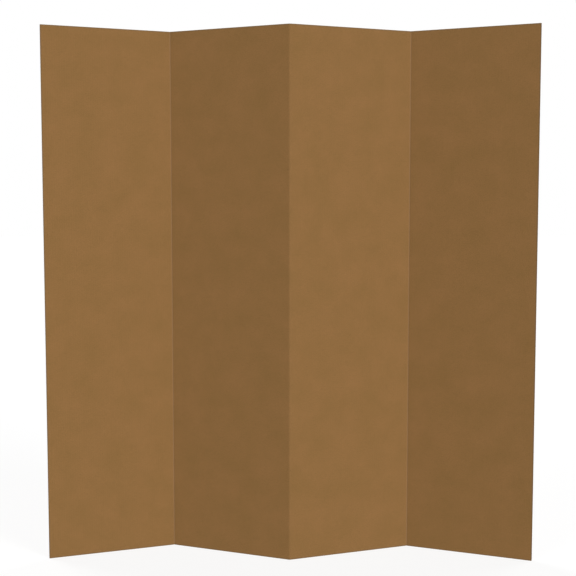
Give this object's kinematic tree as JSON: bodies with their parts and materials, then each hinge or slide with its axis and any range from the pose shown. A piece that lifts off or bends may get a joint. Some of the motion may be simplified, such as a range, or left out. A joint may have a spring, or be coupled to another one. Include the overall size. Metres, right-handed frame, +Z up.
{
  "type": "folding cardboard room divider",
  "caption": "Tall free-standing screen of double-wall corrugated cardboard, creased into panels that stand in a zigzag and fold flat.",
  "frame": {"origin": "on the floor, in the middle of the footprint of the standing zigzag", "axes": "+Z up, +X to the right across the screen, +Y towards its back; the picture is taken from the -Y side"},
  "size_m": [1.6768, 0.1646, 1.8288],
  "materials": {
    "kraft_liner": "matte",
    "kraft_medium": "matte"
  },
  "bodies": {
    "panel_1": {"panel_1_front_liner": "kraft_liner", "panel_1_front_fluting": "kraft_medium", "panel_1_middle_liner": "kraft_liner", "panel_1_back_fluting": "kraft_medium", "panel_1_back_liner": "kraft_liner"},
    "panel_2": {"panel_2_front_liner": "kraft_liner", "panel_2_front_fluting": "kraft_medium", "panel_2_middle_liner": "kraft_liner", "panel_2_back_fluting": "kraft_medium", "panel_2_back_liner": "kraft_liner", "crease_1_front_liner": "kraft_liner", "crease_1_front_fluting": "kraft_medium", "crease_1_middle_liner": "kraft_liner", "crease_1_back_fluting": "kraft_medium", "crease_1_back_liner": "kraft_liner", "crease_2_front_liner": "kraft_liner", "crease_2_front_fluting": "kraft_medium", "crease_2_middle_liner": "kraft_liner", "crease_2_back_fluting": "kraft_medium", "crease_2_back_liner": "kraft_liner"},
    "panel_3": {"panel_3_front_liner": "kraft_liner", "panel_3_front_fluting": "kraft_medium", "panel_3_middle_liner": "kraft_liner", "panel_3_back_fluting": "kraft_medium", "panel_3_back_liner": "kraft_liner", "crease_3_front_liner": "kraft_liner", "crease_3_front_fluting": "kraft_medium", "crease_3_middle_liner": "kraft_liner", "crease_3_back_fluting": "kraft_medium", "crease_3_back_liner": "kraft_liner"},
    "panel_4": {"panel_4_front_liner": "kraft_liner", "panel_4_front_fluting": "kraft_medium", "panel_4_middle_liner": "kraft_liner", "panel_4_back_fluting": "kraft_medium", "panel_4_back_liner": "kraft_liner"}
  },
  "joints": [
    {"name": "fold_1", "type": "hinge", "parent": "panel_2", "child": "panel_1", "pos_m": [-0.41974, 0.07329, 0], "axis": [0, 0, 1], "range_deg": [-40.9, 139.1], "deforming": ["crease_1_front_liner", "crease_1_front_fluting", "crease_1_middle_liner", "crease_1_back_fluting", "crease_1_back_liner"]},
    {"name": "fold_2", "type": "hinge", "parent": "panel_2", "child": "panel_3", "pos_m": [0, -0.07329, 0], "axis": [0, 0, 1], "range_deg": [-40.9, 139.1], "deforming": ["crease_2_front_liner", "crease_2_front_fluting", "crease_2_middle_liner", "crease_2_back_fluting", "crease_2_back_liner"]},
    {"name": "fold_3", "type": "hinge", "parent": "panel_3", "child": "panel_4", "pos_m": [0.41974, 0.07329, 0], "axis": [0, 0, -1], "range_deg": [-40.9, 139.1], "deforming": ["crease_3_front_liner", "crease_3_front_fluting", "crease_3_middle_liner", "crease_3_back_fluting", "crease_3_back_liner"]}
  ]
}
